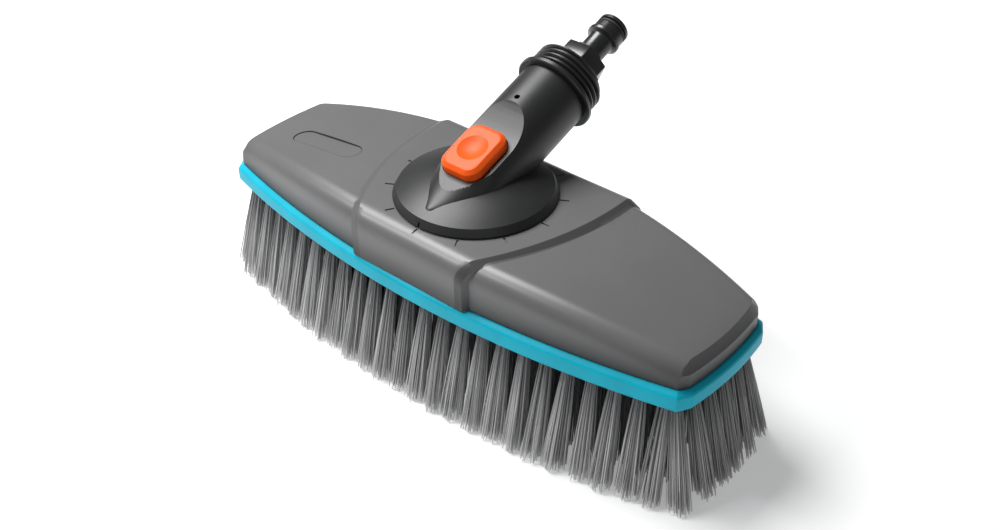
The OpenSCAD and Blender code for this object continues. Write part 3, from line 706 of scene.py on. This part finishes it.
def outline(grow, arc=60, end=14):
    """Points round the head's outline, grown all round, against the clock from its front middle."""
    side_r, end_r, end_c = SIDE_R + grow, END_R + grow, END_X - END_R

    def meet(cx, cy, r):
        """The two points where a circle meets the line of the corner facet."""
        c, s = math.cos(FACET_ANGLE), math.sin(FACET_ANGLE)
        d = FACET_D + grow - cx * c - cy * s
        along = math.sqrt(max(0.0, r * r - d * d))
        return [(cx + d * c - k * along * s, cy + d * s + k * along * c) for k in (-1, 1)]

    on_side = max((p for p in meet(0, -SIDE_C, side_r) if p[0] > 0), key=lambda p: p[1])
    on_end = max(meet(end_c, 0, end_r), key=lambda p: p[0])
    a = math.asin(on_side[0] / side_r)
    b = math.asin(on_end[1] / end_r)
    quarter = [(side_r * math.sin(a * i / arc), side_r * math.cos(a * i / arc) - SIDE_C)
               for i in range(arc + 1)]
    quarter += [(end_c + end_r * math.cos(b * (1 - i / end)), end_r * math.sin(b * (1 - i / end)))
                for i in range(end + 1)]
    lower = [(x, -y) for x, y in quarter]
    upper = [(x, y) for x, y in reversed(quarter[:-1])]
    right = lower + upper
    left = [(-x, y) for x, y in reversed(right[1:-1])]
    return right + left


class BRUSH_OT_bumper(bpy.types.Operator):
    """Build the soft bumper round the cover's foot"""

    bl_idname = "brush.bumper"
    bl_label = "Bumper"

    def execute(self, context):
        bm = bmesh.new()
        out, top = BUMPER_OUT, BUMPER_H
        profile = [(-BUMPER_IN, 0), (out - 1.9, 0), (out - 0.3, 2.0), (out, 2.6), (out, top - 2.1),
                   (out - 0.5, top - 1.2), (out - 2.1, top), (-BUMPER_IN, top)]
        rings = [outline(grow) for grow, _ in profile]
        columns, rows = len(rings[0]), len(profile)

        def place(u, v):
            row = round(v * rows) % rows
            x, y = rings[row][round(u * columns) % columns]
            return Vector((x, y, PLATE_Z + profile[row][1]))

        sheet(bm, columns, rows, place)
        close(bm)
        soften(bm, 0.3, 20, 3)
        skin = bumper_rubber(context.scene.brush_colours.bumper)
        fit(to_mesh("bumper_band", bm, [skin], 40), "head", "bumper_turquoise", "bumper")
        return {"FINISHED"}


# ---- Bristles ----

def filament(bm, strand, tint, root, tip, bow, thickness):
    """One three-sided filament from root to tip, bowed sideways by the vector bow."""
    axis = (tip - root).normalized()
    side = axis.cross(Vector((0, 1, 0.3))).normalized()
    other = axis.cross(side)

    def place(u, v):
        middle = root.lerp(tip, v) + bow * math.sin(math.pi * v)
        turn = 2 * math.pi * u
        r = thickness / 2 * (1 - 0.25 * v)
        return middle + (side * math.cos(turn) + other * math.sin(turn)) * r

    for vert in sheet(bm, 3, 4, place):
        vert[strand] = tint


def tuft(bm, strand, root, lean, count, dice, thickness):
    """A tuft of filaments from its hole in the plate, splayed at the tips."""
    for _ in range(count):
        angle, share = dice.uniform(0, 2 * math.pi), math.sqrt(dice.random())
        spot = Vector((math.cos(angle), math.sin(angle), 0)) * share
        start = root + spot * ROOT_SPREAD
        end = root + lean + spot * TIP_SPREAD * dice.uniform(0.9, 1.06)
        end += Vector((dice.gauss(0, 0.22), dice.gauss(0, 0.22), 0))
        end.z = abs(dice.gauss(0, 0.8)) + share**2 * 0.4
        bow = Vector((dice.gauss(0, 0.16), dice.gauss(0, 0.16), 0)) + spot * 0.25
        filament(bm, strand, dice.random(), start, end, bow, thickness)


def side_spots(depth, reach, pitch):
    """Tuft places along the front side, at that depth from the outline: (place, outward)."""
    r = SIDE_R - depth
    half = math.asin(reach / r)
    count = max(2, round(2 * half * r / pitch))
    spots = []
    for i in range(count + 1):
        a = half * (2 * i / count - 1)
        out = Vector((math.sin(a), -math.cos(a), 0))
        spots.append((Vector((0, SIDE_C, PLATE_Z)) + out * r, out))
    return spots


def end_spots(depth, half_w, pitch):
    """Tuft places along the right end and its two corner facets: (place, outward)."""
    r = END_R - depth
    half = math.asin(half_w / r)
    count = max(2, round(2 * half * r / pitch))
    spots = []
    for i in range(count + 1):
        a = half * (2 * i / count - 1)
        out = Vector((math.cos(a), math.sin(a), 0))
        spots.append((Vector((END_X - END_R, 0, PLATE_Z)) + out * r, out))
    for side in (-1, 1):
        out = Vector((math.cos(FACET_ANGLE), side * math.sin(FACET_ANGLE), 0))
        facet = Vector((CORNER_X + 1.4, side * (SIDE_HALF_W - CORNER_TAPER - 2.2), PLATE_Z))
        spots.append((facet - out * depth, out))
    return spots


class BRUSH_OT_bristles(bpy.types.Operator):
    """Build every row of tufts, filament by filament"""

    bl_idname = "brush.bristles"
    bl_label = "Bristles"

    def execute(self, context):
        sizes = context.scene.brush_sizes
        colour = Vector(context.scene.brush_colours.bristles)
        outer = filament_nylon("grey_filaments", colour)
        # Painted shade: the inner rows get the filament colour at 0.4, darker as if in shadow behind the
        # outer rows.
        inner = filament_nylon("inner_filaments_painted_shade", colour * 0.4)
        pitch, many = sizes.tuft_pitch / MM, sizes.filaments
        thickness = sizes.filament_thickness / MM
        front = side_spots(OUTER_DEPTH, CORNER_X - 7, pitch)
        second = side_spots(SECOND_DEPTH, CORNER_X - 9, pitch)
        third = side_spots(THIRD_DEPTH, CORNER_X * 0.42, pitch * 1.2)
        reach = CORNER_X - 16
        line = [(Vector((-reach + 2 * reach * i / CENTRE_GAPS, 0, PLATE_Z)), Vector((0, 0, 0)))
                for i in range(CENTRE_GAPS + 1)]
        ends = end_spots(OUTER_DEPTH, END_ROW_HALF_W, pitch)
        rows = [
            ("bristles_front_row", front, OUTER_LEAN, many, (1, 1)),
            ("bristles_back_row", front, OUTER_LEAN, many, (1, -1)),
            ("bristles_right_end", ends, END_LEAN, many, (1, 1)),
            ("bristles_left_end", ends, END_LEAN, many, (-1, 1)),
            ("bristles_front_second", second, SECOND_LEAN, many * 3 // 4, (1, 1)),
            ("bristles_back_second", second, SECOND_LEAN, many * 3 // 4, (1, -1)),
            ("bristles_front_third", third, 0.0, many // 2, (1, 1)),
            ("bristles_back_third", third, 0.0, many // 2, (1, -1)),
            ("bristles_centre_row", line, 0.0, many // 2, (1, 1)),
        ]
        for seed, (name, spots, lean, count, flip) in enumerate(rows):
            dice = random.Random(seed + 7)
            bm = bmesh.new()
            strand = bm.verts.layers.float.new("strand")
            mirror = Vector((flip[0], flip[1], 1))
            for place, out in spots:
                side = out * mirror
                wander = Vector((dice.uniform(-0.6, 0.6), dice.uniform(-0.6, 0.6), 0))
                tuft(bm, strand, place * mirror, side * lean + wander, count, dice, thickness)
            bmesh.ops.remove_doubles(bm, verts=bm.verts, dist=0.0001)
            # The second, third and centre rows take the darker copy with the painted shade.
            nylon = inner if name.endswith(("second", "third", "centre_row")) else outer
            piece = to_mesh(name.replace("bristles", "filaments"), bm, [nylon], 180)
            fit(piece, "head", "bristle_grey", name)
        return {"FINISHED"}


# ---- Turret ----

def scoop_profile(flat_end=33.0, r=38.0):
    """The scoop's side view: (along, above) points of the volume it takes away."""
    run_out = [(flat_end + r * math.sin(a), SCOOP_FLOOR + r * (1 - math.cos(a)))
               for a in [math.radians(3.5 * i) for i in range(14)]]
    return [(-25, SCOOP_FLOOR)] + run_out + [(run_out[-1][0], 50), (-25, 50)]


def rounded_rect(w, l, r, steps=8, side=1):
    """Outline of a rounded rectangle, each straight side cut into side pieces."""
    arcs = [arc_points(cx, cy, r, start, start + 90, steps)
            for cx, cy, start in ((w / 2 - r, l / 2 - r, 0), (r - w / 2, l / 2 - r, 90),
                                  (r - w / 2, r - l / 2, 180), (w / 2 - r, r - l / 2, 270))]
    points = []
    for arc, following in zip(arcs, arcs[1:] + arcs[:1]):
        (x0, y0), (x1, y1) = arc[-1], following[0]
        points += arc + [(x0 + (x1 - x0) * i / side, y0 + (y1 - y0) * i / side) for i in range(1, side)]
    return points


def barrel_body():
    """The neck's barrel, whose foot narrows to a bow that runs down into the dome."""
    bm = bmesh.new()
    around, bow_rows = 96, 30
    tip_s, tip_h, full = -8.6, 9.25, 21.0
    stops = [full, 32, 44, 56, 68, NECK_LEN - 0.6, NECK_LEN]
    rows = bow_rows + len(stops) - 1

    def place(u, v):
        row = round(v * rows)
        turn = 2 * math.pi * u
        if row <= bow_rows:
            t = (row / bow_rows) ** 1.4
            keel = tip_h + (NECK_R - tip_h) * t**2.6
            waist = (tip_h - 3) * (1 - t * t * (3 - 2 * t))
            wide, high = NECK_R * math.sin(math.pi / 2 * t) ** 0.8, (keel - waist) * min(1, t * 12) ** 0.5
            centre = Vector((0, tip_s + (full - tip_s) * t, waist))
        else:
            wide = high = NECK_R - (0.4 if row == rows else 0)
            centre = Vector((0, stops[row - bow_rows], 0))
        return NECK_FRAME @ (centre + Vector((math.sin(turn) * wide, 0, math.cos(turn) * high)))

    sheet(bm, around, rows, place)
    close(bm)
    cap_holes(bm)
    cut_off(bm, Vector((0, 0, RIM_Z + 0.6)), Vector((0, 0, -1)))
    return bm


def button_room():
    """What the button and its two legs take out of the turret."""
    bm = bmesh.new()
    pocket = rounded_rect(BUTTON_W + 2 * POCKET_GAP, BUTTON_LEN + 2 * POCKET_GAP, BUTTON_CORNER + POCKET_GAP)
    prism(bm, pocket, 20, NECK_FRAME @ Matrix.Translation((0, BUTTON_MID, SCOOP_FLOOR - 5)))
    yield bm
    bm = bmesh.new()
    for x in (-LEG_X, LEG_X):
        across, along = LEG_HALF_W + LEG_GAP, LEG_HALF_LEN + LEG_GAP + 0.2
        block(bm, (x - across, LEG_ALONG - along, -12), (x + across, LEG_ALONG + along, SCOOP_FLOOR - 4),
              NECK_FRAME)
    yield bm


def turret_tools():
    """What is taken out of the barrel: the scoop, the pinhole and the button's room."""
    side_view = Matrix(((0, 0, 1, -30), (1, 0, 0, 0), (0, 1, 0, 0), (0, 0, 0, 1)))
    pinhole = arc_points(0, 0, 1.3, 0, 345, 23)
    for shape, height, place in (
        (scoop_profile(), 60, side_view),
        (pinhole, 20, Matrix.Translation((0, 57, 8))),
    ):
        bm = bmesh.new()
        prism(bm, shape, height, NECK_FRAME @ place)
        yield bm
    yield from button_room()


class BRUSH_OT_turret(bpy.types.Operator):
    """Build the turret: rim, dome, neck, scoop and the button's pocket"""

    bl_idname = "brush.turret"
    bl_label = "Turret"

    def execute(self, context):
        skin = moulded("turret_satin_black", context.scene.brush_colours.turret, 0.42, 0.00002)
        cap_r = (DOME_R**2 + DOME_H**2) / (2 * DOME_H)
        top = RIM_Z + RIM_H + DOME_H
        spread = math.degrees(math.asin(DOME_R / cap_r))
        cap = arc_points(0, top - cap_r, cap_r, 90, 90 - spread, 20)[1:-1]
        rim = [(DOME_R + 0.05, RIM_Z + RIM_H), (RIM_R, RIM_Z + 0.6), (RIM_R - 0.4, RIM_Z)]
        hub = [(HUB_R, RIM_Z), (HUB_R, HUB_Z + 0.6), (HUB_R - 0.6, HUB_Z), (HUB_BORE_R, HUB_Z),
               (HUB_BORE_R, SEAT_Z + 3), (0, SEAT_Z + 3)]
        dome = bmesh.new()
        lathe(dome, [(0, top)] + cap + rim + hub, Matrix(), 128)
        groove = bmesh.new()
        block(groove, (-0.45, -RIM_R - 1, RIM_Z - 1), (0.45, -RIM_R + 1.1, RIM_Z + RIM_H + 0.3))
        dome = carve(dome, groove, "turret_dome")
        for tool in button_room():
            dome = carve(dome, tool, "turret_dome")
        close(dome)
        soften(dome, 0.35, 24, 3)
        neck = barrel_body()
        for tool in turret_tools():
            neck = carve(neck, tool, "turret_neck")
        close(neck)
        soften(neck, 0.6, 32, 3)
        close(neck, 0.001)
        for name, bm in (("turret_rim_and_dome", dome), ("turret_neck", neck)):
            piece = to_mesh(name, bm, [skin], 40)
            even_shading(piece)
            fit(piece, "turret", "turret_black", "turret")
        return {"FINISHED"}


# ---- Collar and nipple ----

class BRUSH_OT_collar(bpy.types.Operator):
    """Build the threaded collar with its helical thread"""

    bl_idname = "brush.collar"
    bl_label = "Threaded collar"

    def execute(self, context):
        turns = context.scene.brush_sizes.thread_turns
        bm = bmesh.new()
        foot, bore, core, flange = NECK_LEN, COLLAR_BORE_R, COLLAR_CORE_R, FLANGE_R
        flange_top = foot + FLANGE_H
        profile = [(bore, foot), (flange - 0.5, foot), (flange, foot + 0.5), (flange, flange_top - 0.4),
                   (flange - 0.4, flange_top), (core + 0.1, flange_top), (core, flange_top + 0.3),
                   (core, COLLAR_END - 0.55), (core - 0.5, COLLAR_END), (bore, COLLAR_END), (bore, foot)]
        lathe(bm, profile, ALONG)
        pitch, start, rise, per_turn = 2.6, 80.5, 1.3, 64
        shape = [(-0.3, -1.1), (0, -1.1), (rise - 0.1, -0.4), (rise, -0.28), (rise, 0.28),
                 (rise - 0.1, 0.4), (0, 1.1), (-0.3, 1.1)]
        columns = per_turn * turns - 12
        length = columns / per_turn

        def place(u, v):
            run_in = min(1.0, u * length * 5, (1 - u) * length * 5)
            out, across = shape[round(v * len(shape)) % len(shape)]
            turn = 2 * math.pi * u * length + 1.0
            r = core + (out if out < 0 else out * run_in - 0.02 * (1 - run_in))
            s = start + pitch * u * length + across * (0.3 + 0.7 * run_in)
            return ALONG @ Vector((r * math.cos(turn), r * math.sin(turn), s))

        sheet(bm, columns, len(shape), place)
        close(bm, 0.0005)
        skin = moulded("collar_satin_black", context.scene.brush_colours.turret, 0.36, 0.00002, 0.1)
        fit(to_mesh("collar_with_thread", bm, [skin], 34), "turret", "turret_black", "threaded_collar")
        return {"FINISHED"}


class BRUSH_OT_nipple(bpy.types.Operator):
    """Build the quick-connect nipple with its six-sided foot"""

    bl_idname = "brush.nipple"
    bl_label = "Hose nipple"

    def execute(self, context):
        bm = bmesh.new()
        foot, nose, ridge, end = NIPPLE_FOOT, NOSE_R, RIDGE, NOSE_END
        hexagon = arc_points(0, 0, HEX_W / math.sqrt(3), 0, 300, 5)
        prism(bm, hexagon, HEX_H, ALONG @ Matrix.Translation((0, 0, foot)))
        close(bm)
        soften(bm, 0.7, 40, 2)
        for i in range(6):
            turn = Matrix.Rotation(math.pi * (i + 0.5) / 3, 4, "Z")
            block(bm, (7.6, -1.5, foot + 5.4), (9.2, 1.5, foot + HEX_H + 0.8), ALONG @ turn)
        for v in bm.verts:
            v.tag = True
        a = foot + HEX_H - 0.5
        neck = [(4, a), (8.4, a), (8.4, a + 1.1), (7.4, a + 1.6), (6.5, a + 2.0), (6.0, a + 2.8)]
        lock = [(6.0, ridge - 2.2), (6.4, ridge - 1.3), (8.0, ridge - 0.2), (8.2, ridge + 0.2),
                (8.2, ridge + 1.4), (7.9, ridge + 1.9), (nose, ridge + 2.1)]
        groove = [(nose, end - 4.8), (nose - 0.1, end - 4.7), (6.0, end - 4.7), (6.0, end - 2.4),
                  (nose - 0.1, end - 2.4), (nose, end - 2.3)]
        mouth = [(nose, end - 0.9), (7.1, end - 0.2), (6.6, end), (5.3, end), (5.1, end - 0.3),
                 (5.1, end - 2.5), (4, end - 2.5), (4, a)]
        lathe(bm, neck + lock + groove + mouth, ALONG, 80)
        inner, shoulder = 68.6, 84.2
        sleeve = [(5.1, inner), (8.9, inner), (8.95, foot + 0.2), (4.1, foot + 0.2), (4.1, shoulder),
                  (5.1, shoulder), (5.1, inner)]
        lathe(bm, sleeve, ALONG, 64)
        close(bm, 0.001)
        skin = moulded("nipple_satin_black", context.scene.brush_colours.turret, 0.3, 0.000015, 0.2)
        fit(to_mesh("quick_connect_nipple", bm, [skin], 28), "turret", "turret_black", "hose_nipple")
        return {"FINISHED"}


# ---- Button ----

def button_rings(dimple_r=6.9, dimple_depth=1.5, bowl=12, ledge=6):
    """Rings of points from the dimple's middle over the rounded edge to the button's foot."""
    top = BUTTON_TOP

    def edge(inset):
        return rounded_rect(BUTTON_W - 2 * inset, BUTTON_LEN - 2 * inset, BUTTON_CORNER - inset, 8, 10)

    flat = edge(2.1)
    circle = [Vector((x, y, 0)).normalized() * dimple_r for x, y in flat]
    rings = []
    for i in range(bowl + 1):
        away = i / bowl
        dip = dimple_depth * (1 - away * away)
        rings.append([(p.x * away, p.y * away, top - dip) for p in circle])
    for i in range(1, ledge):
        share = i / ledge
        rings.append([(p.x + (x - p.x) * share, p.y + (y - p.y) * share, top)
                      for p, (x, y) in zip(circle, flat)])
    for inset, drop in ((2.1, 0), (1.8, 0.1), (0.3, 1.35), (0.08, 1.6), (0, 2), (0, top - BUTTON_FOOT)):
        rings.append([(x, y, top - drop) for x, y in edge(inset)])
    return rings


class BRUSH_OT_button(bpy.types.Operator):
    """Build the lock button with its round dimple"""

    bl_idname = "brush.button"
    bl_label = "Lock button"

    def execute(self, context):
        bm = bmesh.new()
        for x in (-LEG_X, LEG_X):
            low = (x - LEG_HALF_W, LEG_ALONG - LEG_HALF_LEN, -8)
            high = (x + LEG_HALF_W, LEG_ALONG + LEG_HALF_LEN, BUTTON_FOOT + 0.4)
            block(bm, low, high, NECK_FRAME)
        cut_off(bm, Vector((0, -3.2, SEAT_Z + 3)), Vector((0, 0.817, -0.576)))
        cut_off(bm, Vector((0, 0, SEAT_Z + 2.83)), Vector((0, 0, -1)))
        rings = button_rings()
        around, rows = len(rings[0]), len(rings) - 1

        def place(u, v):
            x, y, z = rings[round(v * rows)][round(u * around) % around]
            return NECK_FRAME @ Vector((x, y + BUTTON_MID, z))

        sheet(bm, around, rows, place)
        close(bm, 0.0005)
        cap_holes(bm)
        bmesh.ops.recalc_face_normals(bm, faces=bm.faces)
        colour = context.scene.brush_colours.button
        skin = moulded("button_orange_plastic", colour, 0.4, 0.000012, 0, 0.2, 0.05)
        fit(to_mesh("lock_button_cap", bm, [skin], 20), "button", "button_orange", "lock_button")
        return {"FINISHED"}


# ---- Carried-over fittings ----

class BRUSH_OT_fittings(bpy.types.Operator):
    """Finish the fittings that keep their CAD shape"""

    bl_idname = "brush.fittings"
    bl_label = "Inner fittings"

    def execute(self, context):
        black = context.scene.brush_colours.turret
        finishes = {
            "plate_black": moulded("plate_matte_black", (0.02, 0.02, 0.021), 0.55, 0.00005),
            "seal_black": sealing_rubber(),
            "inner_white": natural_acetal(),
            "steel": worked_steel(),
            "turret_black": moulded("inner_satin_black", black, 0.36, 0.00002),
        }
        slots = {part["node"]: part["material_slot"] for part in frame["record"]["subparts"]}
        for name, node in frame["nodes"].items():
            if not node.hide_render:
                node.data.materials.clear()
                node.data.materials.append(finishes[slots[name]])
        return {"FINISHED"}


# ---- Stage ----

def camera_at(name, lens, place, right, up):
    """A camera at place whose picture has those right and up directions."""
    data = bpy.data.cameras.new(name)
    data.lens = lens
    data.sensor_width = 36
    data.clip_start = 0.01
    back = right.cross(up).normalized()
    turn = Matrix((right.normalized(), back.cross(right).normalized(), back)).transposed().to_4x4()
    camera = bpy.data.objects.new(name, data)
    camera.matrix_world = Matrix.Translation(place) @ turn
    bpy.context.scene.collection.objects.link(camera)
    return camera


def lamp(name, spot, target, width, height, power):
    """A soft rectangular light that looks at target."""
    data = bpy.data.lights.new(name, "AREA")
    data.shape = "RECTANGLE"
    data.size = width
    data.size_y = height
    data.energy = power
    light = bpy.data.objects.new(name, data)
    light.location = spot
    light.rotation_mode = "QUATERNION"
    light.rotation_quaternion = (Vector(target) - Vector(spot)).to_track_quat("-Z", "Y")
    bpy.context.scene.collection.objects.link(light)


class BRUSH_OT_stage(bpy.types.Operator):
    """Build the floor, the lights and the camera"""

    bl_idname = "brush.stage"
    bl_label = "Stage"

    def execute(self, context):
        scene = context.scene
        bm = bmesh.new()
        bmesh.ops.create_grid(bm, x_segments=1, y_segments=1, size=6000)
        floor = to_mesh("studio_floor", bm, [pale_floor()])
        world = bpy.data.worlds.new("studio")
        world.use_nodes = True
        sky = world.node_tree.nodes["Background"]
        sky.inputs["Color"].default_value = (1, 1, 1, 1)
        sky.inputs["Strength"].default_value = 0.16
        scene.world = world
        scene.view_settings.view_transform = "Standard"
        middle = (0, 0, 0.06)
        lamp("key", (-0.50, 0.02, 0.95), middle, 0.5, 0.5, 13)
        lamp("edge", (-0.57, -0.44, 0.78), (-0.57, 0, 0.06), 0.65, 0.09, 6)
        lamp("fill", (0.9, -0.7, 0.5), middle, 0.8, 0.8, 0.8)
        right, up = Vector((0.7549, 0.6558, -0.0132)), Vector((-0.3811, 0.4550, 0.8050))
        scene.camera = camera_at("camera", 45.92, (0.3127, -0.3382, 0.3227 + LINE_Z * MM), right, up)
        return {"FINISHED"}


OPERATORS = (
    BRUSH_OT_stage, BRUSH_OT_cover, BRUSH_OT_bumper, BRUSH_OT_bristles, BRUSH_OT_turret,
    BRUSH_OT_collar, BRUSH_OT_nipple, BRUSH_OT_button, BRUSH_OT_fittings,
)


class BRUSH_PT_panel(bpy.types.Panel):
    """Lists the pieces and their settings"""

    bl_label = "Wash brush head"
    bl_space_type = "VIEW_3D"
    bl_region_type = "UI"
    bl_category = "Brush"

    def draw(self, context):
        for group in (context.scene.brush_sizes, context.scene.brush_colours):
            column = self.layout.column()
            for key in group.__annotations__:
                column.prop(group, key)
        for operator in OPERATORS:
            self.layout.operator(operator.bl_idname)


CLASSES = (BrushSizes, BrushColours, *OPERATORS, BRUSH_PT_panel)


def register():
    for item in CLASSES:
        bpy.utils.register_class(item)
    bpy.types.Scene.brush_sizes = PointerProperty(type=BrushSizes)
    bpy.types.Scene.brush_colours = PointerProperty(type=BrushColours)


def unregister():
    del bpy.types.Scene.brush_colours
    del bpy.types.Scene.brush_sizes
    for item in reversed(CLASSES):
        bpy.utils.unregister_class(item)


def main():
    register()
    for operator in OPERATORS:
        group, name = operator.bl_idname.split(".")
        getattr(getattr(bpy.ops, group), name)()


if __name__ == "__main__":
    main()
